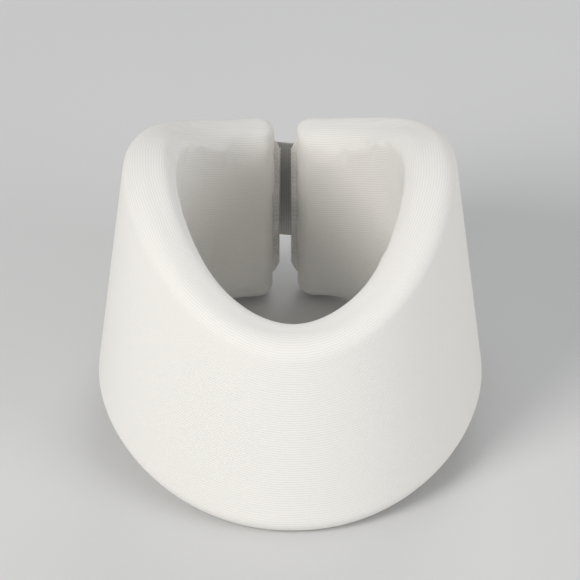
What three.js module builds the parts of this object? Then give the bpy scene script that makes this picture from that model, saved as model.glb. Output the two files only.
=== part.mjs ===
// A soft cervical collar: a contoured foam band inside a knitted cloth cover, closed at the
// back of the neck by a hook-and-loop strap.
//
// Millimetres. The front of the collar faces -Y, the wearer's left is +X and +Z is up. The
// collar stands on its lower edge: the front and the two back ends touch z = 0. Every place on
// it is given by three numbers: an angle around the neck (0 at the front, growing towards the
// wearer's left, 180 at the back), a height, and how proud it stands of the cover's outside.
//
// Foam and cloth bend anywhere along the band. Here the band is cut into five stiff lengths,
// hinged along their outside, and the strap into two.
import * as THREE from 'three';

// Driving dimensions of the band.
const halfWidth = 79;
const halfDepth = 85;
const inwardLean = 0.12;
const frontHeight = 86;
const sideRise = 33;
const backRise = 4;
const hemRise = 13;
const tailLength = 6;
const wallThickness = 21;
const edgeRadius = 7;
const coverThickness = 1;
const fitGap = 0.3;
const originShift = 3.4;

// Angles, in degrees, where the band is hinged and where it ends.
const frontCut = 52;
const backCut = 104;
const bandEnd = 175.5;
const halfCut = 0.2;
const endWall = 1.2;
const endGap = 0.4;
const levelHalfAngle = 4;

// The closure: a strap sewn to the left end, and a loop panel sewn to the right end.
const strapLow = 21;
const strapHigh = 71;
const tapeThickness = 0.9;
const hookThickness = 1.2;
const loopThickness = 1.4;
const hookMargin = 2;
const anchorStart = 149;
const foldAngle = 175.5;
const liftedFrom = 187;
const hookStart = 192;
const tipHinge = 214;
const hookEnd = 232;
const strapEnd = 240;
const panelStart = 188;
const panelEnd = 250;

// The overlocked seams that close the cover's ends, and the sewing thread.
const seamWidth = 3;
const seamReach = 2.9;
const seamMargin = 9;
const threadWidth = 1;
const threadThickness = 0.4;
const threadMargin = 3;

// How finely the curves are cut up: degrees along the band, millimetres along a thread.
const bandStep = 6.5;
const cornerSteps = 3;
const threadStep = 7;
const millimetresPerDegree = 1.36;

const { degToRad, clamp, lerp } = THREE.MathUtils;
const sine = (degrees) => Math.sin(degToRad(degrees));
const cosine = (degrees) => Math.cos(degToRad(degrees));

// The height of the lower edge: level at the very front, higher at the sides.
function hemHeight(angle) {
  return hemRise * sine(Math.max(0, Math.abs(angle) - levelHalfAngle)) ** 2;
}

// The height of the upper edge: a dip for the chin, a crest under each ear, lower at the back.
function rimHeight(angle) {
  return frontHeight + sideRise * sine(angle) ** 2 + backRise * (1 - cosine(angle)) / 2;
}

// A point of the collar. The band is an oval that leans inwards as it rises, and its two ends
// run on backwards a little instead of closing the oval.
function place(angle, height, proud) {
  const reach = proud - inwardLean * height;
  const fromFront = Math.min(Math.abs(angle), 360 - Math.abs(angle));
  const tail = tailLength * (fromFront / 180) ** 6;
  const x = (halfWidth + reach) * sine(angle);
  const y = tail - originShift - (halfDepth + reach) * cosine(angle);
  return new THREE.Vector3(x, y, height);
}

// Evenly spaced values from one number to another, both included.
function spaced(from, to, steps) {
  return Array.from({ length: steps + 1 }, (_, k) => lerp(from, to, k / steps));
}

function alongBand(from, to) {
  return spaced(from, to, Math.round((to - from) / bandStep));
}

// A closed solid from a row of closed outlines, each with the same number of points. The row
// either closes on itself or has a flat cap on its first and last outline.
function skin(outlines, closesOnItself = false) {
  const around = outlines[0].length;
  const faces = [];
  const rows = closesOnItself ? outlines.length : outlines.length - 1;
  for (let row = 0; row < rows; row++) {
    const here = row * around;
    const there = ((row + 1) % outlines.length) * around;
    for (let k = 0; k < around; k++) {
      const next = (k + 1) % around;
      faces.push(here + k, there + next, here + next);
      faces.push(here + k, there + k, there + next);
    }
  }
  if (!closesOnItself) {
    const last = (outlines.length - 1) * around;
    for (let k = 1; k < around - 1; k++) {
      faces.push(0, k, k + 1);
      faces.push(last, last + k + 1, last + k);
    }
  }
  const geometry = new THREE.BufferGeometry().setFromPoints(outlines.flat());
  geometry.setIndex(faces);
  geometry.computeVertexNormals();
  return geometry;
}

// The same outlines on the other side of the collar. Turning the row round keeps the faces
// of the mirrored solid pointing out.
function mirrored(outlines) {
  const across = (point) => new THREE.Vector3(-point.x, point.y, point.z);
  return outlines.map((outline) => outline.map(across)).reverse();
}

// The outline of the wall at one angle: a tall rectangle with round corners, pulled in by
// inset from the outside of the cover.
function wallOutline(angle, inset) {
  const radius = edgeRadius - inset;
  const outer = -edgeRadius;
  const inner = edgeRadius - wallThickness;
  const low = hemHeight(angle) + edgeRadius;
  const high = rimHeight(angle) - edgeRadius;
  const corners = [[outer, low, -90], [outer, high, 0], [inner, high, 90], [inner, low, 180]];
  return corners.flatMap(([proud, height, turn]) =>
    spaced(turn, turn + 90, cornerSteps).map((way) =>
      place(angle, height + radius * sine(way), proud + radius * cosine(way))));
}

const foamInset = coverThickness + fitGap;

function foamLength(from, to) {
  return alongBand(from, to).map((angle) => wallOutline(angle, foamInset));
}

// A length of the knitted cover, open at both ends: out along its outside, back along its
// inside.
function coverSleeve(from, to) {
  const angles = alongBand(from, to);
  const outside = angles.map((angle) => wallOutline(angle, 0));
  const inside = angles.map((angle) => wallOutline(angle, coverThickness));
  return [...outside, ...inside.reverse()];
}

// The last length of the cover, closed at the end of the band like the foot of a sock.
function coverEnd(from, to) {
  const inside = alongBand(from, to - endWall).map((angle) => wallOutline(angle, coverThickness));
  const outside = alongBand(from, to).map((angle) => wallOutline(angle, 0));
  return [...inside.reverse(), ...outside];
}

// The overlocked seam that stands out of the cover's closed end, from hem to rim.
function endSeam() {
  const near = bandEnd + endGap;
  const far = near + seamReach;
  const middle = -wallThickness / 2;
  const low = hemHeight(bandEnd) + seamMargin;
  const high = rimHeight(bandEnd) - seamMargin;
  const section = [
    [near, middle + seamWidth / 2],
    [near, middle - seamWidth / 2],
    [far, middle - seamWidth / 4],
    [far, middle + seamWidth / 4],
  ];
  return spaced(low, high, 4).map((height) =>
    section.map(([angle, proud]) => place(angle, height, proud)));
}

// A flat strip that lies round the collar: its underside stands at proud(angle).
function strip(angles, low, high, thickness, proud) {
  return angles.map((angle) => {
    const under = proud(angle);
    const over = under + thickness;
    return [
      place(angle, low, under),
      place(angle, low, over),
      place(angle, high, over),
      place(angle, high, under),
    ];
  });
}

// The closure is built up from the cover outwards: loop panel, hook patch, strap.
const panelUnder = fitGap;
const hookUnder = panelUnder + loopThickness + fitGap;
const tapeOverHook = hookUnder + hookThickness + fitGap;

// The strap lies flat on the left end and climbs over the edge of the loop panel.
function tapeUnder(angle) {
  const climb = clamp((angle - foldAngle) / (liftedFrom - foldAngle), 0, 1);
  return lerp(fitGap, tapeOverHook, climb);
}

// A line of sewing thread lying on a strip, through a list of [angle, height] corners.
function threadLine(corners, proud, closesOnItself) {
  const route = [];
  const legs = closesOnItself ? corners.length : corners.length - 1;
  for (let leg = 0; leg < legs; leg++) {
    const [angle, height] = corners[leg];
    const [nextAngle, nextHeight] = corners[(leg + 1) % corners.length];
    const run = Math.hypot((nextAngle - angle) * millimetresPerDegree, nextHeight - height);
    const steps = Math.ceil(run / threadStep);
    for (let k = 0; k < steps; k++) {
      route.push([lerp(angle, nextAngle, k / steps), lerp(height, nextHeight, k / steps)]);
    }
  }
  if (!closesOnItself) route.push(corners[legs]);
  const outlines = route.map(([angle, height], k) => {
    const before = wayBetween(route, k - 1, k, closesOnItself);
    const after = wayBetween(route, k, k + 1, closesOnItself);
    return threadOutline(angle, height, proud, [before, after]);
  });
  return skin(outlines, closesOnItself);
}

// The direction, in millimetres across the strip, from one point of a thread to the next.
function wayBetween(route, from, to, closesOnItself) {
  const count = route.length;
  if (!closesOnItself && from < 0) return wayBetween(route, 0, 1, false);
  if (!closesOnItself && to >= count) return wayBetween(route, count - 2, count - 1, false);
  const [angle, height] = route[(from + count) % count];
  const [nextAngle, nextHeight] = route[(to + count) % count];
  const along = (nextAngle - angle) * millimetresPerDegree;
  return new THREE.Vector2(along, nextHeight - height).normalize();
}

// The thread's flat section at one point of its route, mitred where the route turns.
function threadOutline(angle, height, proud, [before, after]) {
  const across = new THREE.Vector2(-before.y - after.y, before.x + after.x).normalize();
  const mitre = 1 / Math.max(0.5, across.dot(new THREE.Vector2(-before.y, before.x)));
  const side = across.multiplyScalar(mitre * threadWidth / 2);
  const under = proud(angle);
  const over = under + threadThickness;
  const at = (way, level) =>
    place(angle + way * side.x / millimetresPerDegree, height + way * side.y, level);
  return [at(-1, under), at(-1, over), at(1, over), at(1, under)];
}

const colours = {
  foam: { color: 0xe9dfbf, roughness: 0.95 },
  cover: { color: 0xe6e2da, roughness: 0.9 },
  seam: { color: 0xdedad1, roughness: 0.9 },
  loop: { color: 0xe2ded6, roughness: 1 },
  hook: { color: 0xd9d6cf, roughness: 0.8 },
  tape: { color: 0xe4e1da, roughness: 0.85 },
  thread: { color: 0xf0eee8, roughness: 0.7 },
};

const collar = new THREE.Group();

function add(name, geometry, slot) {
  const material = new THREE.MeshStandardMaterial({ ...colours[slot], metalness: 0 });
  const mesh = new THREE.Mesh(geometry, material);
  mesh.name = name;
  collar.add(mesh);
}

// Adds one piece on the wearer's left and its mirror image on the right.
function addPair(outlines, names, slot, closesOnItself = false) {
  add(names[0], skin(outlines, closesOnItself), slot);
  add(names[1], skin(mirrored(outlines), closesOnItself), slot);
}

const sideLength = [frontCut + halfCut, backCut - halfCut];
const backLength = [backCut + halfCut, bandEnd];

function addFoam() {
  const foamEnd = bandEnd - endWall - endGap;
  add('foam_core_front', skin(foamLength(-frontCut + halfCut, frontCut - halfCut)), 'foam');
  addPair(foamLength(...sideLength), ['foam_core_left_side', 'foam_core_right_side'], 'foam');
  addPair(foamLength(backLength[0], foamEnd), ['foam_core_left_back', 'foam_core_right_back'], 'foam');
}

function addCover() {
  const front = coverSleeve(-frontCut + halfCut, frontCut - halfCut);
  add('cover_front', skin(front, true), 'cover');
  addPair(coverSleeve(...sideLength), ['cover_left_side', 'cover_right_side'], 'cover', true);
  addPair(coverEnd(...backLength), ['cover_left_back', 'cover_right_back'], 'cover');
  addPair(endSeam(), ['end_seam_left', 'end_seam_right'], 'seam');
}

function addLoopPanel() {
  const angles = alongBand(panelStart, panelEnd);
  const panel = strip(angles, strapLow, strapHigh, loopThickness, () => panelUnder);
  add('loop_panel', skin(panel), 'loop');
  const left = panelStart + 1;
  const right = panelEnd - 1;
  const low = strapLow + threadWidth;
  const high = strapHigh - threadWidth;
  const onPanel = () => hookUnder;
  const corners = [[left, low], [right, low], [right, high], [left, high]];
  add('loop_panel_stitching', threadLine(corners, onPanel, true), 'thread');
}

function addStrap() {
  const tape = (angles) => skin(strip(angles, strapLow, strapHigh, tapeThickness, tapeUnder));
  add('strap_anchor', tape(alongBand(anchorStart, foldAngle - halfCut)), 'tape');
  const overGap = [foldAngle + halfCut, 360 - bandEnd];
  add('closure_strap', tape([...overGap, ...alongBand(liftedFrom, tipHinge - halfCut)]), 'tape');
  add('strap_pull_tab', tape(alongBand(tipHinge + halfCut, strapEnd)), 'tape');
}

function addHooks() {
  const low = strapLow + hookMargin;
  const high = strapHigh - hookMargin;
  const hooks = (from, to) =>
    skin(strip(alongBand(from, to), low, high, hookThickness, () => hookUnder));
  add('hook_patch', hooks(hookStart, tipHinge - halfCut), 'hook');
  add('hook_patch_tip', hooks(tipHinge + halfCut, hookEnd), 'hook');
}

function addStrapStitching() {
  const onTape = (angle) => tapeUnder(angle) + tapeThickness + fitGap;
  const low = strapLow + threadMargin;
  const high = strapHigh - threadMargin;
  const threads = (corners, closesOnItself) => threadLine(corners, onTape, closesOnItself);
  const boxStart = anchorStart + 2;
  const boxEnd = foldAngle - 3;
  const box = [[boxStart, low], [boxEnd, low], [boxEnd, high], [boxStart, high]];
  add('strap_anchor_stitching', threads(box, true), 'thread');
  const hookEdge = hookStart + 1;
  const tipEdge = hookEnd - 1;
  const beforeHinge = tipHinge - 1;
  const afterHinge = tipHinge + 1;
  const roundHooks = [[beforeHinge, high], [hookEdge, high], [hookEdge, low], [beforeHinge, low]];
  const roundTip = [[afterHinge, low], [tipEdge, low], [tipEdge, high], [afterHinge, high]];
  add('hook_stitching', threads(roundHooks, false), 'thread');
  add('hook_stitching_tip', threads(roundTip, false), 'thread');
}

addFoam();
addCover();
addLoopPanel();
addStrap();
addHooks();
addStrapStitching();

export default collar;
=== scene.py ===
"""A soft cervical collar, dressed around its CAD frame: foam, knitted cover, seams and closure.

Metres throughout. A place on the collar is an angle round the neck in degrees (0 at the front,
growing towards the wearer's left, 180 at the back), a height, and how proud it stands of the
cover's nominal outside.
"""
import math

import bpy
import numpy as np
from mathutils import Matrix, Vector


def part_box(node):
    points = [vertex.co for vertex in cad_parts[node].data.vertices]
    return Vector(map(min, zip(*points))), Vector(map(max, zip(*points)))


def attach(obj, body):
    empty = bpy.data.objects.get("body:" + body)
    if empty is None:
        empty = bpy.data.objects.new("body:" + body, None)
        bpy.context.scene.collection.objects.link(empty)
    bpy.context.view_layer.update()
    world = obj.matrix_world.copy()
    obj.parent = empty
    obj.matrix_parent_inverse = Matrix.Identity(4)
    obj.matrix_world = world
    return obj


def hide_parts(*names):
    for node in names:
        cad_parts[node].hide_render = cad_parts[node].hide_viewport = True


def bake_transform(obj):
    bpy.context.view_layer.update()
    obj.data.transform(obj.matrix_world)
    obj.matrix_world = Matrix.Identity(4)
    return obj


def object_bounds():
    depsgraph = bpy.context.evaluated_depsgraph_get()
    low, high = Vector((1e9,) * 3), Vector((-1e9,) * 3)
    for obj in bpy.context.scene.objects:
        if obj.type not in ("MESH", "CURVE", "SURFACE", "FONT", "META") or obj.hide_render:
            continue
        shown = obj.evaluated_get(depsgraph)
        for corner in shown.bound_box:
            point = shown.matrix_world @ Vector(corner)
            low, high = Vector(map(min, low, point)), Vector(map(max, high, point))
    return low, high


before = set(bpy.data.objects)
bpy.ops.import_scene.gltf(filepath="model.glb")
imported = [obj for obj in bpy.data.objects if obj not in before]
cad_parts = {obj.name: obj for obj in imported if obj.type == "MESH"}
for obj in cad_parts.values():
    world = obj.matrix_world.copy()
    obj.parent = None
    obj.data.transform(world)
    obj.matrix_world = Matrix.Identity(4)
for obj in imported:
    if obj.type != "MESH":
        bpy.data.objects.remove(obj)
cad_box = [list(corner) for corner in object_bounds()]
scene = bpy.context.scene
MM = 0.001
TINY = 1e-12

# The wall of the collar, as the CAD frame has it.
HALF_WIDTH = 79 * MM
HALF_DEPTH = 85 * MM
INWARD_LEAN = 0.12
FRONT_HEIGHT = 86 * MM
SIDE_RISE = 33 * MM
BACK_RISE = 4 * MM
HEM_RISE = 13 * MM
TAIL_LENGTH = 6 * MM
ORIGIN_SHIFT = 3.4 * MM
WALL_THICKNESS = 21 * MM
BAND_END = 175.5
LEVEL_HALF_ANGLE = 4

# One degree's length along the outside of the band, and along the middle of its wall.
METRES_PER_DEGREE = 1.36 * MM
MIDDLE_METRES_PER_DEGREE = 1.1 * MM
MIDDLE_HEIGHT = 50 * MM

# The closure. Its heights come from the frame, its angles are the CAD design's.
STRAP_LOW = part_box("closure_strap")[0][2]
STRAP_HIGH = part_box("closure_strap")[1][2]
ANCHOR_START = 149
LIFTED_FROM = 187
HOOK_START = 192
STRAP_SPLIT = 200
TIP_HINGE = 214
HOOK_END = 232
STRAP_END = 240
PANEL_START = 188
PANEL_END = 250
FIT_GAP = 0.3 * MM
TAPE_THICKNESS = 0.9 * MM
HOOK_THICKNESS = 1.2 * MM
LOOP_THICKNESS = 1.4 * MM
HOOK_MARGIN = 2 * MM
THREAD_MARGIN = 3 * MM

# The band bends at four joints. A bend spreads this far to each side of its joint, and one
# piece of cloth or foam ends and the next begins well clear of it.
SIDE_JOINT = 52
BACK_JOINT = 104
BEND_HALF_ANGLE = 14
FRONT_SPLIT = 28
SIDE_SPLIT = 78
# Each length: its name, where it starts and ends, and the body before its joint, the body after
# it, and the joint's place.
BAND_LENGTHS = [
    ("front", -FRONT_SPLIT, FRONT_SPLIT, None),
    ("left_side", FRONT_SPLIT, SIDE_SPLIT, ("front_panel", "left_side", SIDE_JOINT)),
    ("left_back", SIDE_SPLIT, BAND_END, ("left_side", "left_back", BACK_JOINT)),
    ("right_side", -SIDE_SPLIT, -FRONT_SPLIT, ("front_panel", "right_side", -SIDE_JOINT)),
    ("right_back", -BAND_END, -SIDE_SPLIT, ("right_side", "right_back", -BACK_JOINT)),
]

# The cover and the foam of the band, both a little inside the CAD's outline.
COVER_INSET = 0.7 * MM
COVER_EDGE_RADIUS = 7.5 * MM
COVER_STEP = 2.8 * MM
FOAM_INSET = 3.2 * MM
FOAM_EDGE_RADIUS = 4.5 * MM
FOAM_STEP = 5 * MM
FOAM_END = BAND_END - 3.5

# How the band closes round each end.
SEAM_HALF_WIDTH = 0.9 * MM
END_NOSE = 7 * MM
END_TUCK = 4 * MM
NOSE_STATIONS = 9
FULLEST_EDGE = 0.75
PUCKER_LENGTHS = (4.1 * MM, 5.7 * MM, 9.3 * MM)
PUCKER_HEIGHT = 0.16 * MM
PUCKER_REACH = 9 * MM

# How far the foam pushes the cover out, free of the closure and under it.
MOST_SWELL = 1.9 * MM
LEAST_SWELL = 0.3 * MM
UNDER_CLOSURE = 0.5 * MM
CLOSURE_REACH = 9 * MM
CREASE_MARGIN = 4

# The closing seam: a folded edge that stands out of each end, and the thread round it.
FOLD_REACH = 3 * MM
FOLD_RADIUS = 0.75 * MM
FOLD_SUNK = 0.6 * MM
FOLD_WAVE = 0.25 * MM
FOLD_WAVE_LENGTH = 3.1 * MM
FOLD_TAPER = 5 * MM
FOLD_STATIONS = 60
OVERLOCK_PITCH = 2.3 * MM
OVERLOCK_THREAD = 0.2 * MM
OVERLOCK_MIDDLE = 0.9 * MM
OVERLOCK_HALF_REACH = 1.75 * MM
OVERLOCK_HALF_DEPTH = 1.05 * MM
OVERLOCK_SWAY = 0.5 * MM
OVERLOCK_POINTS = 14

# The sewing that shows, and how it pulls the layers in.
SEWING_REACH = 2.2 * MM
SEWING_DEPTH = 0.55 * MM
STITCH_PITCH = 3 * MM
STITCH_WIDTH = 0.62 * MM
STITCH_POINTS = 7
STITCH_GAP = 0.06
THREAD_GIRTH = 1.4 * MM

# The strap's soft corners and bends, and the hooks under it.
TAPE_STEP = 1.2 * MM
TAPE_END_SHARES = (0.25, 0.8)
TAB_ROUNDING = 12 * MM
EDGE_DROOP = 0.35
FOLD_SPREAD = 6
PEEL_SPREAD = 9
HOOK_HEIGHT = 0.75 * MM
HOOK_CURL = 0.2 * MM
HOOK_RADIUS = 0.11 * MM
HOOK_PITCH = 1.7 * MM
HOOK_STATIONS = 4
HOOK_TURN = 150

# The pitches of the knit and the weave, in the millimetres that the materials work in, and the
# colours of the knit: the cotton itself, and the painted shade in the grooves between its stitches.
KNIT_WALE = 1.05
KNIT_COURSE = 0.8
TAPE_PICK = 0.95
TAPE_END = 0.7
COTTON = (0.89, 0.872, 0.835)
COTTON_GROOVE_SHADE = (0.74, 0.72, 0.68)

# The main view: from the front, well above the collar.
VIEW_AZIMUTH = -1.5
VIEW_ELEVATION = 36
VIEW_DISTANCE = 1.55
VIEW_LENS = 245
AIM_BELOW_MIDDLE = 6 * MM
FLOOR_HALF_WIDTH = 3


# ---------------------------------------------------------------- the collar's shape

def sine(degrees):
    return np.sin(np.radians(degrees))


def cosine(degrees):
    return np.cos(np.radians(degrees))


def mix(low, high, share):
    return low + (high - low) * share


def smooth(share):
    share = np.clip(share, 0, 1)
    return share * share * (3 - 2 * share)


def unit(ways):
    """The ways, which lie on the last axis, each made one long."""
    return ways / np.maximum(np.linalg.norm(ways, axis=-1, keepdims=True), TINY)


def hem_height(angle):
    return HEM_RISE * sine(np.maximum(0, np.abs(angle) - LEVEL_HALF_ANGLE)) ** 2


def rim_height(angle):
    return FRONT_HEIGHT + SIDE_RISE * sine(angle) ** 2 + BACK_RISE * (1 - cosine(angle)) / 2


def place(angle, height, proud):
    """Points of the collar, x, y and z on the last axis."""
    angle, height, proud = np.broadcast_arrays(angle, height, proud)
    reach = proud - INWARD_LEAN * height
    from_front = np.minimum(np.abs(angle), 360 - np.abs(angle))
    tail = TAIL_LENGTH * (from_front / 180) ** 6 - ORIGIN_SHIFT
    x = (HALF_WIDTH + reach) * sine(angle)
    y = tail - (HALF_DEPTH + reach) * cosine(angle)
    return np.stack([x, y, height], axis=-1)


def strap_place(angle, height, proud):
    """As place, but straight across the gap between the two ends of the band."""
    angle = np.asarray(angle, float)
    share = np.clip((angle - BAND_END) / (360 - 2 * BAND_END), 0, 1)[..., None]
    over_gap = (share > 0) & (share < 1)
    left = place(BAND_END, height, proud)
    right = place(360 - BAND_END, height, proud)
    return np.where(over_gap, mix(left, right, share), place(angle, height, proud))


def tape_under(angle):
    """How proud the strap's underside stands: flat on the left end, then over the hooks."""
    over_hooks = 3 * FIT_GAP + LOOP_THICKNESS + HOOK_THICKNESS
    return mix(FIT_GAP, over_hooks, smooth((angle - BAND_END) / (LIFTED_FROM - BAND_END)))


def end_fullness(angle, band_end=BAND_END):
    """1 along the band, falling to 0 where it closes round each end."""
    from_end = (band_end - np.abs(angle)) * MIDDLE_METRES_PER_DEGREE / END_NOSE
    return np.sqrt(1 - (1 - np.clip(from_end, 0, 1)) ** 2)


# ---------------------------------------------------------------- outlines and meshes

def outline(*runs):
    """A closed outline of an oblong in three rows: across, up and turn.

    Each run is (points, across, up, turn) with a start and an end for each. across is 1 on the
    outer face and -1 on the inner, up is 0 at the foot and 1 at the head, and turn is the way
    the surface faces, in degrees. It starts at the middle of the foot, so that point k of the
    outer half lies opposite point -k of the inner half.
    """
    rows = [
        np.stack([np.linspace(*pair, points, endpoint=False) for pair in pairs])
        for points, *pairs in runs
    ]
    return np.concatenate(rows, axis=1)


def oblong(face, corner, edge):
    """The outline with so many points on each face, round each corner and on each half edge."""
    return outline(
        (edge, (0, 1), (0, 0), (-90, -90)),
        (corner, (1, 1), (0, 0), (-90, 0)),
        (face, (1, 1), (0, 1), (0, 0)),
        (corner, (1, 1), (1, 1), (0, 90)),
        (2 * edge, (1, -1), (1, 1), (90, 90)),
        (corner, (-1, -1), (1, 1), (90, 180)),
        (face, (-1, -1), (1, 0), (180, 180)),
        (corner, (-1, -1), (0, 0), (180, 270)),
        (edge, (-1, 0), (0, 0), (270, 270)),
    )


def wall_grid(angles, section, inset, edge_radius):
    """The wall's surface as an array: stations along the band, then points round the wall."""
    angle = angles[:, None]
    across, up, turn = section
    fullness = end_fullness(angle, angles[-1])
    half = mix(SEAM_HALF_WIDTH, WALL_THICKNESS / 2 - inset, fullness)
    radius = np.minimum(edge_radius, FULLEST_EDGE * half)
    tuck = inset + (1 - fullness) * END_TUCK
    low = hem_height(angle) + tuck + radius
    high = rim_height(angle) - tuck - radius
    proud = (half - radius) * across + radius * cosine(turn) - WALL_THICKNESS / 2
    height = mix(low, high, up) + radius * sine(turn)
    return place(angle, height, proud)


def finer(grid):
    """The same grid with a point set between every two, on a smooth curve through them."""
    for axis, closed in ((0, False), (1, True)):
        grid = np.moveaxis(grid, axis, 0)
        if closed:
            run = np.concatenate([grid[-1:], grid, grid[:2]])
        else:
            run = np.concatenate([2 * grid[:1] - grid[1:2], grid, 2 * grid[-1:] - grid[-2:-1]])
        between = (9 * (run[1:-2] + run[2:-1]) - run[:-3] - run[3:]) / 16
        fine = np.empty((len(grid) + len(between), *grid.shape[1:]))
        fine[0::2] = grid
        fine[1::2] = between
        grid = np.moveaxis(fine, 0, axis)
    return grid


def grid_normals(grid):
    """The outward direction at each point of a grid that is closed round its second axis."""
    along = np.gradient(grid, axis=0)
    around = np.roll(grid, -1, axis=1) - np.roll(grid, 1, axis=1)
    return unit(np.cross(along, around))


def new_piece(name, points, faces, uvs=None):
    """A smooth mesh object. uvs holds one pair for each corner of each face, in metres."""
    mesh = bpy.data.meshes.new(name)
    mesh.from_pydata(np.asarray(points).tolist(), [], [list(map(int, face)) for face in faces])
    mesh.polygons.foreach_set("use_smooth", [True] * len(mesh.polygons))
    if uvs is not None:
        layer = mesh.uv_layers.new(name="cloth")
        layer.data.foreach_set("uv", np.asarray(uvs, np.float32).ravel())
    mesh.update()
    piece = bpy.data.objects.new(name, mesh)
    scene.collection.objects.link(piece)
    return piece


def lid_faces(count, turned):
    """The faces that join the outer half of a ring of points to its inner half."""
    lids = []
    for j in range(count // 2):
        lid = [j, j + 1, (count - j - 1) % count, (count - j) % count]
        lids.append(list(dict.fromkeys(lid))[::turned])
    return lids


def loft(name, grid, along, around, closed=(True, True)):
    """A piece from a grid. along and around are its cloth measures, around one longer than the
    grid, and closed says which of its two ends gets a lid between the outer and inner half."""
    stations, count = grid.shape[:2]
    k = np.arange(count)
    following = (k + 1) % count
    faces, uvs = [], []
    for i in range(stations - 1):
        here, there = i * count, (i + 1) * count
        faces += np.stack([here + k, there + k, there + following, here + following], 1).tolist()
        corners = [(along[i], around[k]), (along[i + 1], around[k])]
        corners += [(along[i + 1], around[k + 1]), (along[i], around[k + 1])]
        uvs.append(np.stack([np.stack([np.full(count, u), v], 1) for u, v in corners], 1))
    uvs = [np.concatenate(uvs).reshape(-1, 2)]
    for wanted, station, turned in ((closed[0], 0, 1), (closed[1], stations - 1, -1)):
        if wanted:
            for lid in lid_faces(count, turned):
                faces.append([station * count + corner for corner in lid])
                uvs.append(np.array([[along[station], around[corner]] for corner in lid]))
    return new_piece(name, grid.reshape(-1, 3), faces, np.concatenate(uvs))


def cloth_measures(grid):
    """Metres along the band and metres round the wall, for a grid's cloth coordinates."""
    middle = grid[:, grid.shape[1] // 4]
    steps = np.linalg.norm(np.diff(middle, axis=0), axis=1)
    along = np.concatenate([[0], np.cumsum(steps)])
    ring = grid[len(grid) // 2]
    ring = np.concatenate([ring, ring[:1]])
    around = np.concatenate([[0], np.cumsum(np.linalg.norm(np.diff(ring, axis=0), axis=1))])
    return along, around


# ---------------------------------------------------------------- the band: cover and foam

def band_stations(step, band_end=BAND_END):
    """Angles along the band about step metres apart, closer where the ends close."""
    nose_angle = END_NOSE / MIDDLE_METRES_PER_DEGREE
    nose = band_end - nose_angle * (1 - cosine(np.linspace(0, 90, NOSE_STATIONS)))
    plain = band_end - nose_angle
    count = 2 * round(plain * METRES_PER_DEGREE / step)
    middle = np.linspace(-plain, plain, count + 1)
    return np.concatenate([-nose[:-1], middle, nose[:-1][::-1]])


def seam_box(start, end, margin):
    """The corners of a box of stitching on the strap, as [angle, height]."""
    low = STRAP_LOW + margin
    high = STRAP_HIGH - margin
    return [[start, low], [end, low], [end, high], [start, high]]


def near_line(angles, heights, corners):
    """How far each point lies from a closed line through [angle, height] corners, in metres."""
    angles, heights = np.broadcast_arrays(angles, heights)
    points = np.stack([angles * METRES_PER_DEGREE, heights], axis=-1)
    nearest = np.full(points.shape[:-1], np.inf)
    for start, end in zip(corners, corners[1:] + corners[:1]):
        a = np.array([start[0] * METRES_PER_DEGREE, start[1]])
        b = np.array([end[0] * METRES_PER_DEGREE, end[1]])
        share = np.clip(((points - a) @ (b - a)) / ((b - a) @ (b - a)), 0, 1)
        gap = np.linalg.norm(points - a - share[..., None] * (b - a), axis=-1)
        nearest = np.minimum(nearest, gap)
    return nearest


ANCHOR_SEAM = seam_box(ANCHOR_START + 2, BAND_END - 3, THREAD_MARGIN)
PANEL_SEAM = seam_box(PANEL_START + 1, PANEL_END - 1, 1 * MM)
HOOK_SEAM = seam_box(HOOK_START + 1, HOOK_END - 1, THREAD_MARGIN)


def sewing_pull(angles, heights, *seams):
    """1 on the lines where the layers are sewn to the band, falling to 0 beside them."""
    nearest = np.minimum.reduce([near_line(angles, heights, seam) for seam in seams])
    return np.exp(-((nearest / SEWING_REACH) ** 2))


def inside_creases(angles, heights, rng):
    """Shallow upright creases where the inside of the bent band is too long for its arc."""
    up = (heights - hem_height(angles)) / (rim_height(angles) - hem_height(angles))
    depth = np.zeros(up.shape)
    position = CREASE_MARGIN - BAND_END
    while position < BAND_END - CREASE_MARGIN:
        centre = position + rng.uniform(-1.5, 1.5)
        lean = rng.uniform(-0.06, 0.06)
        width = rng.uniform(1.4, 2.6) * MM
        amount = rng.uniform(0.15, 0.75) * MM
        foot = rng.uniform(0.05, 0.3)
        head = rng.uniform(0.5, 0.78)
        aside = (angles - centre) * MIDDLE_METRES_PER_DEGREE + lean * (heights - MIDDLE_HEIGHT)
        ends = smooth((up - foot) / 0.2) * smooth((head - up) / 0.35)
        depth += amount * ends * np.exp(-np.abs(aside) / width)
        position += rng.uniform(6, 13)
    return depth


def end_puckers(angles, heights, rng):
    """Small gathers that run out of the closing seam at each end of the cover."""
    from_end = (BAND_END - np.abs(angles)) * MIDDLE_METRES_PER_DEGREE
    wave = np.zeros(np.broadcast(angles, heights).shape)
    for length in PUCKER_LENGTHS:
        phase = rng.uniform(0, 2 * np.pi)
        wave += np.sin(2 * np.pi * heights / length + phase + np.sign(angles))
    return PUCKER_HEIGHT * wave * np.exp(-from_end / PUCKER_REACH)


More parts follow.
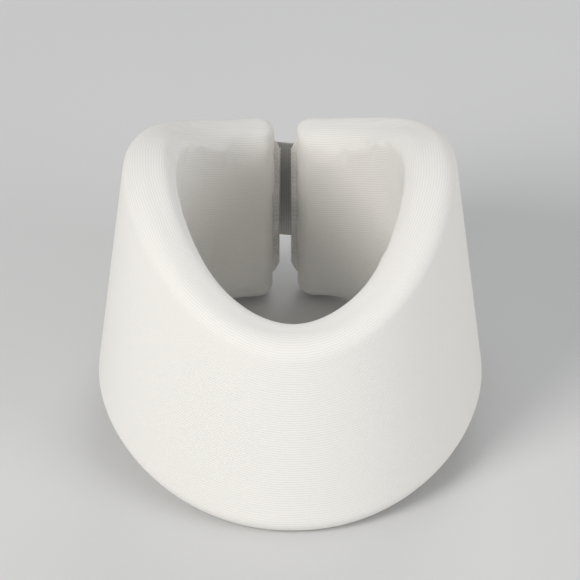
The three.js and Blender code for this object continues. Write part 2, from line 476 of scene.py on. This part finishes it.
def swell(piece, held, frames=20):
    """Runs a pressure cloth simulation on a piece and returns where its points end up."""
    group = piece.vertex_groups.new(name="held")
    for index in np.flatnonzero(held > 0.01):
        group.add([int(index)], float(held[index]), "REPLACE")
    cloth = piece.modifiers.new("Cloth", "CLOTH")
    cloth.settings.quality = 5
    cloth.settings.mass = 0.3
    cloth.settings.tension_stiffness = 12
    cloth.settings.compression_stiffness = 12
    cloth.settings.shear_stiffness = 6
    cloth.settings.bending_stiffness = 0.6
    cloth.settings.vertex_group_mass = "held"
    cloth.settings.use_pressure = True
    cloth.settings.uniform_pressure_force = 4
    cloth.settings.effector_weights.gravity = 0
    cloth.point_cache.frame_start = 1
    cloth.point_cache.frame_end = frames
    for number in range(1, frames + 1):
        scene.frame_set(number)
    evaluated = piece.evaluated_get(bpy.context.evaluated_depsgraph_get())
    mesh = evaluated.to_mesh()
    points = np.empty(len(mesh.vertices) * 3, np.float32)
    mesh.vertices.foreach_get("co", points)
    evaluated.to_mesh_clear()
    scene.frame_set(1)
    return points.reshape(-1, 3).astype(float)


def cover_swelling(grid, held, room):
    """How far the foam's pressure moves the cover, held back to the room it has."""
    along, around = cloth_measures(grid)
    whole = loft("cover_whole", grid, along, around)
    moved = swell(whole, held.ravel()).reshape(grid.shape) - grid
    bpy.data.objects.remove(whole)
    length = np.linalg.norm(moved, axis=2)
    held_back = room * np.tanh(length / room) / np.maximum(length, TINY)
    return moved * held_back[..., None]


def facing(alike):
    """1 where the surface faces a way, falling to 0 over the band's rounded edges. alike is the
    cosine of the angle between the two."""
    return smooth((alike + 0.2) / 0.6)[None, :]


def clear_of_closure(angles, heights):
    """0 under the strap and the loop panel, rising to 1 beside them."""
    past_ends = np.maximum(ANCHOR_START - angles, angles - PANEL_END) * METRES_PER_DEGREE
    past_edges = np.maximum(STRAP_LOW - heights, heights - STRAP_HIGH)
    return smooth(np.maximum(past_ends, past_edges) / CLOSURE_REACH + 0.2)


def cover_grid():
    """The cover's surface: the CAD wall, swollen, creased inside and gathered at its ends."""
    rng = np.random.default_rng(7)
    angles = band_stations(COVER_STEP)
    section = oblong(face=16, corner=5, edge=2)
    grid = wall_grid(angles, section, COVER_INSET, COVER_EDGE_RADIUS)
    angle = np.broadcast_to(angles[:, None], grid.shape[:2])
    height = grid[..., 2]
    turn = section[2]
    outer = facing(cosine(turn))
    inner = facing(-cosine(turn))
    round_back = np.where(angle < 0, angle + 360, angle)
    sewn = outer * sewing_pull(round_back, height, ANCHOR_SEAM, PANEL_SEAM)
    covered = outer * (1 - clear_of_closure(round_back, height))
    held = np.maximum(sewn, (end_fullness(angle) < 0.5) * 1.0)
    grid = grid + cover_swelling(grid, held, mix(MOST_SWELL, LEAST_SWELL, covered))
    raised = UNDER_CLOSURE * covered + end_puckers(angle, height, rng)
    raised -= inside_creases(angle, height, rng) * inner + SEWING_DEPTH * sewn
    return angles, grid + grid_normals(grid) * raised[..., None]


def halved(angles):
    """The angles with one more set halfway between every two, as finer sets its stations."""
    ranks = np.arange(len(angles))
    return np.interp(np.arange(2 * len(angles) - 1) / 2, ranks, angles)


def cut_length(name, grid, first, last, material, lids):
    """One length of a longer grid. It keeps the whole grid's cloth measures and its normals,
    so that the joint with the next length does not show."""
    along, around = cloth_measures(grid)
    part = slice(first, last + 1)
    piece = loft(name, grid[part], along[part], around, lids)
    normals = grid_normals(grid)[part].reshape(-1, 3)
    piece.data.normals_split_custom_set_from_vertices(normals.tolist())
    piece.data.materials.append(material)
    return piece


def split_band(prefix, angles, grid, material, node, lids):
    """Cuts the band's grid into its lengths: the front length goes with the front panel's body, and
    the others are baked in place. lids says whether a length is closed where the next one begins."""
    for name, start, end, bend in BAND_LENGTHS:
        first, last = (int(np.abs(angles - edge).argmin()) for edge in (start, end))
        ends = (lids or first == 0, lids or last == len(angles) - 1)
        piece = cut_length(f"{prefix}_{name}", grid, first, last, material, ends)
        if bend:
            near_body, far_body, joint = bend
            way = math.copysign(BEND_HALF_ANGLE, joint)
            reach = [place(joint + side * way, MIDDLE_HEIGHT, 0).tolist() for side in (-1, 1)]
            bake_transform(piece)
        else:
            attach(piece, "front_panel")
        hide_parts(f"{node}_{name}")


# ---------------------------------------------------------------- materials

class Recipe:
    """A material under construction: its shader, and short ways to add nodes to it."""

    def __init__(self, name, colour, roughness, sheen=0.0, specular=0.3):
        self.material = bpy.data.materials.new(name)
        self.material.use_nodes = True
        self.tree = self.material.node_tree
        self.shader = self.tree.nodes["Principled BSDF"]
        self.shader.inputs["Base Color"].default_value = (*colour, 1)
        self.shader.inputs["Roughness"].default_value = roughness
        self.shader.inputs["Sheen Weight"].default_value = sheen
        self.shader.inputs["Sheen Roughness"].default_value = 0.6
        self.shader.inputs["Specular IOR Level"].default_value = specular

    def link(self, value, socket):
        """Feeds a socket from another node, or sets its number."""
        if isinstance(value, bpy.types.NodeSocket):
            self.tree.links.new(value, socket)
        else:
            socket.default_value = value

    def node(self, kind, settings=None, **inputs):
        node = self.tree.nodes.new(kind)
        for key, value in (settings or {}).items():
            setattr(node, key, value)
        for key, value in inputs.items():
            self.link(value, node.inputs[key.replace("_", " ")])
        return node

    def math(self, operation, *values):
        node = self.tree.nodes.new("ShaderNodeMath")
        node.operation = operation
        for socket, value in zip(node.inputs, values):
            self.link(value, socket)
        return node.outputs[0]

    def cloth(self):
        """The cloth coordinates of the piece, in millimetres along and across."""
        uv = self.node("ShaderNodeUVMap", {"uv_map": "cloth"})
        parts = self.node("ShaderNodeSeparateXYZ", Vector=uv.outputs[0])
        return [self.math("MULTIPLY", parts.outputs[k], 1000.0) for k in (0, 1)]

    def vector(self, x, y, z=0.0):
        return self.node("ShaderNodeCombineXYZ", X=x, Y=y, Z=z).outputs[0]

    def noise(self, vector, scale, detail=2.0):
        return self.node("ShaderNodeTexNoise", Vector=vector, Scale=scale, Detail=detail).outputs[0]

    def span(self, value, low, high, to_low, to_high):
        node = self.node("ShaderNodeMapRange", Value=value, From_Min=low, From_Max=high)
        node.inputs["To Min"].default_value = to_low
        node.inputs["To Max"].default_value = to_high
        return node.outputs[0]

    def bump(self, height, distance, strength):
        """Adds relief on top of any that is there already."""
        node = self.node("ShaderNodeBump", Height=height, Distance=distance, Strength=strength)
        before = self.shader.inputs["Normal"].links
        if before:
            self.link(before[0].from_socket, node.inputs["Normal"])
        self.link(node.outputs[0], self.shader.inputs["Normal"])

    def tint(self, value, dark, light):
        """Runs the base colour from dark to light as value goes from 0 to 1."""
        node = self.node("ShaderNodeMix", {"data_type": "RGBA"})
        self.link(value, node.inputs["Factor"])
        node.inputs["A"].default_value = (*dark, 1)
        node.inputs["B"].default_value = (*light, 1)
        self.link(node.outputs["Result"], self.shader.inputs["Base Color"])

    def rough(self, value, low, high):
        """Runs the roughness from low to high over the middle of value's range."""
        self.link(self.span(value, 0.3, 0.7, low, high), self.shader.inputs["Roughness"])


def knit_material():
    """Fine cotton stockinette: narrow columns of V-shaped stitches that run along the band."""
    recipe = Recipe("cotton_knit", COTTON, 0.9, sheen=0.2)
    along, across = recipe.cloth()
    drift = recipe.noise(recipe.vector(along, across), 0.035)
    across = recipe.math("MULTIPLY_ADD", drift, 2.0, across)
    column = recipe.math("FRACT", recipe.math("DIVIDE", across, KNIT_WALE))
    aside = recipe.math("ABSOLUTE", recipe.math("SUBTRACT", column, 0.5))
    rib = recipe.math("COSINE", recipe.math("MULTIPLY", aside, math.pi))
    row = recipe.math("DIVIDE", along, KNIT_COURSE)
    row = recipe.math("MULTIPLY_ADD", aside, 1.3, row)
    leg = recipe.math("SINE", recipe.math("MULTIPLY", row, 2 * math.pi))
    leg = recipe.math("MULTIPLY_ADD", leg, 0.25, 0.75)
    height = recipe.math("MULTIPLY", rib, leg)
    recipe.bump(height, 0.07 * MM, 0.6)
    fuzz = recipe.noise(recipe.vector(along, across), 1.9, 5.0)
    recipe.bump(fuzz, 0.06 * MM, 0.6)
    # Painted shade: the base colour darkens in the low parts of the knit's relief, between its
    # columns and rows of stitches.
    recipe.tint(recipe.math("POWER", height, 0.5), COTTON_GROOVE_SHADE, COTTON)
    recipe.rough(fuzz, 0.84, 0.96)
    return recipe.material


def foam_material():
    """Open-cell polyurethane foam."""
    recipe = Recipe("open_cell_foam", (0.86, 0.8, 0.62), 0.95)
    where = recipe.node("ShaderNodeTexCoord").outputs["Object"]
    cells = recipe.node("ShaderNodeTexVoronoi", Vector=where, Scale=900.0).outputs["Distance"]
    recipe.bump(cells, 0.4 * MM, 0.7)
    # Painted shade: the base colour darkens in the pits of the cells, where the relief is lowest.
    recipe.tint(recipe.span(cells, 0.0, 0.6, 0.0, 1.0), (0.6, 0.52, 0.34), (0.9, 0.84, 0.66))
    recipe.rough(cells, 0.9, 1.0)
    return recipe.material


def tape_material():
    """Woven nylon tape: fine ribs across its width, crossed by the threads along it."""
    recipe = Recipe("woven_tape", (0.84, 0.83, 0.8), 0.75, sheen=0.1)
    along, across = recipe.cloth()
    pick = recipe.math("SINE", recipe.math("MULTIPLY", along, 2 * math.pi / TAPE_PICK))
    end = recipe.math("SINE", recipe.math("MULTIPLY", across, 2 * math.pi / TAPE_END))
    crossed = recipe.math("MULTIPLY", pick, end)
    height = recipe.math("MULTIPLY_ADD", crossed, 0.35, recipe.math("MULTIPLY_ADD", pick, 0.25, 0.5))
    recipe.bump(height, 0.08 * MM, 0.7)
    # Painted shade: the base colour darkens in the hollows of the weave, where its relief is lowest.
    recipe.tint(recipe.span(height, 0.0, 1.0, 0.0, 1.0), (0.62, 0.61, 0.585), (0.84, 0.83, 0.8))
    recipe.rough(recipe.noise(recipe.vector(along, across), 1.5), 0.68, 0.85)
    return recipe.material


def loop_material():
    """Brushed loop pile: soft, tangled and slightly shiny at a low angle."""
    recipe = Recipe("loop_pile", (0.84, 0.825, 0.79), 0.95, sheen=0.5)
    along, across = recipe.cloth()
    where = recipe.vector(along, across)
    curls = recipe.node("ShaderNodeTexVoronoi", Vector=where, Scale=1.3).outputs["Distance"]
    tangle = recipe.noise(where, 1.1, 6.0)
    recipe.bump(curls, 0.35 * MM, 0.6)
    recipe.bump(tangle, 0.5 * MM, 0.8)
    # Painted shade: the base colour darkens where the pile's relief is low, in its hollows.
    recipe.tint(recipe.span(tangle, 0.3, 0.7, 0.0, 1.0), (0.7, 0.685, 0.65), (0.89, 0.88, 0.85))
    recipe.rough(tangle, 0.9, 1.0)
    return recipe.material


def hook_material():
    """Moulded nylon hooks on their woven ground."""
    recipe = Recipe("hook_nylon", (0.82, 0.81, 0.78), 0.45, specular=0.5)
    where = recipe.node("ShaderNodeTexCoord").outputs["Object"]
    grain_and_shade = recipe.noise(where, 1400.0)
    recipe.bump(grain_and_shade, 0.1 * MM, 0.4)
    # Painted shade: the base colour darkens where the grain's relief is low.
    recipe.tint(grain_and_shade, (0.74, 0.73, 0.7), (0.87, 0.865, 0.84))
    recipe.rough(grain_and_shade, 0.38, 0.55)
    return recipe.material


def thread_material():
    """Two-ply polyester sewing thread."""
    recipe = Recipe("sewing_thread", (0.9, 0.89, 0.865), 0.6, sheen=0.2)
    along, across = recipe.cloth()
    twist = recipe.math("MULTIPLY_ADD", along, 9.0, recipe.math("MULTIPLY", across, 6.0))
    ply = recipe.math("MULTIPLY_ADD", recipe.math("SINE", twist), 0.5, 0.5)
    recipe.bump(ply, 0.06 * MM, 0.7)
    # Painted shade: the base colour darkens in the groove between the plies, where the twist's
    # relief is low.
    recipe.tint(ply, (0.82, 0.81, 0.785), (0.95, 0.945, 0.93))
    recipe.rough(ply, 0.55, 0.7)
    return recipe.material


def floor_material():
    """A plain pale floor, a little uneven in tone."""
    recipe = Recipe("pale_floor", (0.7, 0.7, 0.695), 0.7)
    where = recipe.node("ShaderNodeTexCoord").outputs["Object"]
    recipe.tint(recipe.noise(where, 3.0), (0.66, 0.662, 0.66), (0.7, 0.702, 0.7))
    return recipe.material


# ---------------------------------------------------------------- closure, seams and stitches

def strip_grid(angles, low, high, thickness, under, rounding=0.0, seam=None, droop=0.0):
    """A flat tape round the collar, thin at its first and last station so that its ends are
    soft. rounding rounds the far corners in plan, seam is where it is sewn down, and droop is
    the share of its lift that its two long edges lose."""
    _, up, turn = oblong(face=16, corner=3, edge=1)
    angle = angles[:, None]
    from_tip = (angles[-1] - angle) * METRES_PER_DEGREE
    clipped = np.clip(1 - from_tip / max(rounding, TINY), 0, 1)
    cut = rounding * (1 - np.sqrt(1 - clipped**2))
    radius = thickness / 2
    foot = low + cut + radius
    head = high - cut - radius
    height = mix(foot, head, up) + radius * sine(turn)
    fullness = np.ones(len(angles))
    fullness[:2] = TAPE_END_SHARES
    fullness[-2:] = TAPE_END_SHARES[::-1]
    proud = under(angle) + radius + radius * cosine(turn) * fullness[:, None]
    from_edge = np.minimum(height - foot, head - height) + radius
    proud -= droop * (under(angle) - FIT_GAP) * smooth(1 - from_edge / THREAD_MARGIN)
    if seam:
        proud -= SEWING_DEPTH * sewing_pull(angle, height, seam)
    return strap_place(np.broadcast_to(angle, height.shape), height, proud)


def strip(name, angles, low, high, thickness, under, material, seam=None):
    """A piece of flat tape with square corners."""
    grid = strip_grid(angles, low, high, thickness, under, seam=seam)
    along, around = cloth_measures(grid)
    piece = loft(name, grid, along, around)
    piece.data.materials.append(material)
    return piece


def strip_angles(start, end):
    """Evenly spaced angles with two extra stations close to each end."""
    count = round((end - start) * METRES_PER_DEGREE / TAPE_STEP)
    middle = np.linspace(start + 0.25, end - 0.25, count)
    return np.concatenate([[start, start + 0.1], middle, [end - 0.1, end]])


def tube(points, radii, sides=6):
    """A round tube along a line, as a grid of stations and sides."""
    points = np.asarray(points, float)
    ways = unit(np.gradient(points, axis=0))
    aslant = [0.21, 0.34, 0.92]  # a way that no thread or hook runs in
    aside = unit(np.cross(ways, aslant))
    above = np.cross(ways, aside)
    turn = np.linspace(0, 2 * np.pi, sides, endpoint=False)[None, :, None]
    ring = aside[:, None] * np.cos(turn) + above[:, None] * np.sin(turn)
    return points[:, None] + ring * np.asarray(radii, float)[:, None, None]


def tubes_piece(name, grids, material):
    """One piece from many closed tubes, each a grid of stations and sides."""
    points, faces, uvs = [], [], []
    base = 0
    for grid in grids:
        stations, sides = grid.shape[:2]
        points.append(grid.reshape(-1, 3))
        steps = np.linalg.norm(np.diff(grid[:, 0], axis=0), axis=1)
        run = np.concatenate([[0], np.cumsum(steps)])
        girth = np.linspace(0, THREAD_GIRTH, sides + 1)
        for i in range(stations - 1):
            here, there = base + i * sides, base + (i + 1) * sides
            for k in range(sides):
                following = (k + 1) % sides
                faces.append([here + k, here + following, there + following, there + k])
                uvs += [[run[i], girth[k]], [run[i], girth[k + 1]]]
                uvs += [[run[i + 1], girth[k + 1]], [run[i + 1], girth[k]]]
        last = base + (stations - 1) * sides
        faces.append([base + k for k in range(sides)][::-1])
        faces.append([last + k for k in range(sides)])
        uvs += [[0, 0]] * (2 * sides)
        base += stations * sides
    piece = new_piece(name, np.concatenate(points), faces, uvs)
    piece.data.materials.append(material)
    return piece


def stitches(name, corners, level, material, sunk=0.0):
    """A closed line of stitches on a strip, each a short thread that dips in at both ends. sunk
    is how far the line pulls the strip down."""
    grids = []
    arch = np.sin(np.linspace(0, np.pi, STITCH_POINTS))
    radii = STITCH_WIDTH * (0.25 + 0.25 * arch)
    rise = STITCH_WIDTH * (0.55 * arch - 0.35)
    for (angle, height), (next_angle, next_height) in zip(corners, corners[1:] + corners[:1]):
        run = math.hypot((next_angle - angle) * METRES_PER_DEGREE, next_height - height)
        count = max(1, round(run / STITCH_PITCH))
        for k in range(count):
            share = (k + np.linspace(STITCH_GAP, 1 - STITCH_GAP, STITCH_POINTS)) / count
            angles = mix(angle, next_angle, share)
            heights = mix(height, next_height, share)
            line = strap_place(angles, heights, level(angles) - sunk + rise)
            grids.append(tube(line, radii))
    return tubes_piece(name, grids, material)


def panel_under(angle):
    """How proud the loop panel's underside stands."""
    return FIT_GAP + 0 * angle


def panel_top(angle):
    """How proud the loop panel's pile stands."""
    return FIT_GAP + LOOP_THICKNESS + 0 * angle


def hook_ground_under(angle):
    """How proud the hooks' ground stands, with room for the hooks between it and the pile."""
    return 2 * FIT_GAP + LOOP_THICKNESS + HOOK_HEIGHT + 0 * angle


def tape_top(angle):
    """How proud the strap's outside stands."""
    return tape_under(angle) + TAPE_THICKNESS


def strap_bend(hinge, spread):
    """Two points at the strap's middle height, from a tenth of spread before the hinge to spread
    past
    it. They mark where a bend would lie: past the hinge, so that the strap before it stays flat on
    what is under it."""
    middle = (STRAP_LOW + STRAP_HIGH) / 2
    return [place(hinge + aside, middle, 0).tolist() for aside in (-0.1 * spread, spread)]


def add_strap(tape, thread):
    """The strap: sewn to the left end, lying over the loop panel, with a rounded pull tab."""
    angles = strip_angles(ANCHOR_START, STRAP_END)
    grid = strip_grid(angles, STRAP_LOW, STRAP_HIGH, TAPE_THICKNESS, tape_under, TAB_ROUNDING,
                      ANCHOR_SEAM, EDGE_DROOP)
    middle = int(np.abs(angles - STRAP_SPLIT).argmin())
    root = cut_length("strap_root", grid, 0, middle, tape, (True, True))
    tab = cut_length("strap_tab", grid, middle, len(grid) - 1, tape, (True, True))
    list(strap_bend(BAND_END, FOLD_SPREAD))
    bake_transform(root)
    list(strap_bend(TIP_HINGE, PEEL_SPREAD))
    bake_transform(tab)
    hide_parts("strap_anchor", "closure_strap")
    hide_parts("strap_pull_tab")
    anchor_sewing = stitches("strap_anchor_stitches", ANCHOR_SEAM, tape_top, thread, SEWING_DEPTH)
    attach(anchor_sewing, "left_back")
    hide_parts("strap_anchor_stitching")
    hook_sewing = stitches("hook_stitches", HOOK_SEAM, tape_top, thread)
    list(strap_bend(TIP_HINGE, PEEL_SPREAD))
    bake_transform(hook_sewing)
    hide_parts("hook_stitching", "hook_stitching_tip")


def hook_line(angle, height, curl):
    """One moulded hook: out of the ground, then curled over."""
    bend = np.linspace(0, HOOK_TURN, HOOK_STATIONS)
    stem = HOOK_HEIGHT - HOOK_CURL
    down = np.concatenate([[0, stem], stem + HOOK_CURL * sine(bend[1:])])
    aside = np.concatenate([[0, 0], HOOK_CURL * (1 - cosine(bend[1:]))])
    return strap_place(angle + 0 * aside, height + curl * aside, hook_ground_under(0) - down)


def add_hooks(material):
    """The hook patch under the strap: a thin ground and rows of hooks that face the collar."""
    low = STRAP_LOW + HOOK_MARGIN
    high = STRAP_HIGH - HOOK_MARGIN
    ground = strip("hook_ground", strip_angles(HOOK_START, HOOK_END), low, high,
                   HOOK_THICKNESS - HOOK_HEIGHT, hook_ground_under, material)
    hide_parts("hook_patch", "hook_patch_tip")
    angle_step = HOOK_PITCH / METRES_PER_DEGREE
    rows = np.arange(HOOK_START + angle_step, HOOK_END - angle_step, angle_step)
    columns = np.arange(low + HOOK_PITCH, high - HOOK_PITCH, HOOK_PITCH)
    radii = np.full(HOOK_STATIONS + 1, HOOK_RADIUS)
    hooks = [
        tube(hook_line(angle, height, (-1) ** row), radii, sides=4)
        for row, angle in enumerate(rows)
        for height in columns
    ]
    rows_piece = tubes_piece("hook_rows", hooks, material)
    for piece in (ground, rows_piece):
        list(strap_bend(TIP_HINGE, PEEL_SPREAD))
        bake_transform(piece)


def add_loop_panel(loop, thread):
    """The loop panel, sewn all round to the outside of the right end."""
    panel = strip("loop_panel_cloth", strip_angles(PANEL_START, PANEL_END), STRAP_LOW, STRAP_HIGH,
                  LOOP_THICKNESS, panel_under, loop, PANEL_SEAM)
    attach(panel, "right_back")
    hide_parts("loop_panel")
    sewing = stitches("loop_panel_stitches", PANEL_SEAM, panel_top, thread, SEWING_DEPTH)
    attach(sewing, "right_back")
    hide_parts("loop_panel_stitching")


def past_end(sign, out):
    """The angle of a point that stands out of one end of the band."""
    return sign * (BAND_END + out / MIDDLE_METRES_PER_DEGREE)


def seam_fold(name, sign, low, high, knit):
    """The cover's raw edges, folded together into a narrow tongue that thins at both ends."""
    heights = np.linspace(low, high, FOLD_STATIONS)
    wave = FOLD_WAVE * np.sin(heights / FOLD_WAVE_LENGTH)
    _, up, turn = oblong(face=6, corner=3, edge=1)
    from_tip = np.minimum(heights - low, high - heights)
    taper = np.sqrt(np.clip(from_tip / FOLD_TAPER, 0.02, 1))[:, None]
    out = (up * (FOLD_REACH - 2 * FOLD_RADIUS) + FOLD_RADIUS + FOLD_RADIUS * sine(turn)) * taper
    proud = -WALL_THICKNESS / 2 + wave[:, None] + FOLD_RADIUS * cosine(turn) * taper
    grid = place(past_end(sign, out - FOLD_SUNK), heights[:, None], proud)
    if sign > 0:
        grid = grid[::-1]
    piece = loft(name, grid, *cloth_measures(grid))
    piece.data.materials.append(knit)
    return piece


def seam_overlock(name, sign, low, high, thread):
    """The thread that winds round the folded edge."""
    turns = round((high - low - 2 * FOLD_TAPER) / OVERLOCK_PITCH)
    share = np.linspace(0, 1, turns * OVERLOCK_POINTS)
    phase = 2 * np.pi * turns * share
    height = mix(low + FOLD_TAPER, high - FOLD_TAPER, share) + OVERLOCK_SWAY * np.sin(phase)
    out = OVERLOCK_MIDDLE + OVERLOCK_HALF_REACH * np.cos(phase)
    proud = -WALL_THICKNESS / 2 + OVERLOCK_HALF_DEPTH * np.sin(phase)
    line = place(past_end(sign, out), height, proud)
    winding = tube(line, np.full(len(line), OVERLOCK_THREAD), sides=5)
    return tubes_piece(name, [winding], thread)


def add_end_seam(side, knit, thread):
    """The closing seam at one end of the cover: a narrow folded edge, bound with overlock."""
    sign = 1 if side == "left" else -1
    low, high = (corner[2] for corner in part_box(f"end_seam_{side}"))
    fold = seam_fold(f"end_seam_fold_{side}", sign, low, high, knit)
    binding = seam_overlock(f"end_seam_overlock_{side}", sign, low, high, thread)
    for piece in (fold, binding):
        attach(piece, f"{side}_back")
    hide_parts(f"end_seam_{side}")


# ---------------------------------------------------------------- camera, light and floor

def add_camera():
    """The camera, aimed a little below the middle of the collar."""
    low, high = (Vector(corner) for corner in cad_box)
    aim = (low + high) / 2 - Vector((0, 0, AIM_BELOW_MIDDLE))
    azimuth = math.radians(VIEW_AZIMUTH)
    elevation = math.radians(VIEW_ELEVATION)
    towards = Vector((
        math.sin(azimuth) * math.cos(elevation),
        -math.cos(azimuth) * math.cos(elevation),
        math.sin(elevation),
    ))
    data = bpy.data.cameras.new("camera")
    data.lens = VIEW_LENS
    camera = bpy.data.objects.new("camera", data)
    camera.location = aim + towards * VIEW_DISTANCE
    camera.rotation_euler = (-towards).to_track_quat("-Z", "Y").to_euler()
    scene.collection.objects.link(camera)
    scene.camera = camera


def add_light(name, location, size, watts, colour=(1, 1, 1)):
    """A round soft light that shines on the origin."""
    data = bpy.data.lights.new(name, "AREA")
    data.shape = "DISK"
    data.size = size
    data.energy = watts
    data.color = colour
    light = bpy.data.objects.new(name, data)
    light.location = location
    light.rotation_euler = (-Vector(location)).to_track_quat("-Z", "Y").to_euler()
    scene.collection.objects.link(light)


def add_studio():
    """A pale floor, an even sky and three soft lights, the key from the front left."""
    half = FLOOR_HALF_WIDTH
    corners = [(-half, -half, 0), (half, -half, 0), (half, half, 0), (-half, half, 0)]
    floor = new_piece("floor", corners, [[0, 1, 2, 3]])
    floor.data.materials.append(floor_material())
    world = bpy.data.worlds.new("studio")
    world.use_nodes = True
    background = world.node_tree.nodes["Background"]
    background.inputs["Color"].default_value = (0.97, 0.98, 1.0, 1)
    background.inputs["Strength"].default_value = 0.4
    scene.world = world
    add_light("key", (-1.2, -1.1, 1.15), 0.9, 22, (1.0, 0.985, 0.96))
    add_light("fill", (1.4, -1.0, 0.7), 1.2, 10)
    add_light("back", (0.4, 1.5, 1.2), 1.0, 6)
    scene.view_settings.view_transform = "Standard"


# ---------------------------------------------------------------- everything together

add_camera()
add_studio()

knit = knit_material()
thread = thread_material()
tape = tape_material()

cover_angles, cover = cover_grid()
split_band("knit_cover", halved(cover_angles), finer(cover), knit, "cover", lids=False)

foam_angles = band_stations(FOAM_STEP, FOAM_END)
foam = wall_grid(foam_angles, oblong(face=10, corner=3, edge=2), FOAM_INSET, FOAM_EDGE_RADIUS)
split_band("foam_length", foam_angles, foam, foam_material(), "foam_core", lids=True)

add_loop_panel(loop_material(), thread)
add_strap(tape, thread)
add_hooks(hook_material())
for side in ("left", "right"):
    add_end_seam(side, knit, thread)
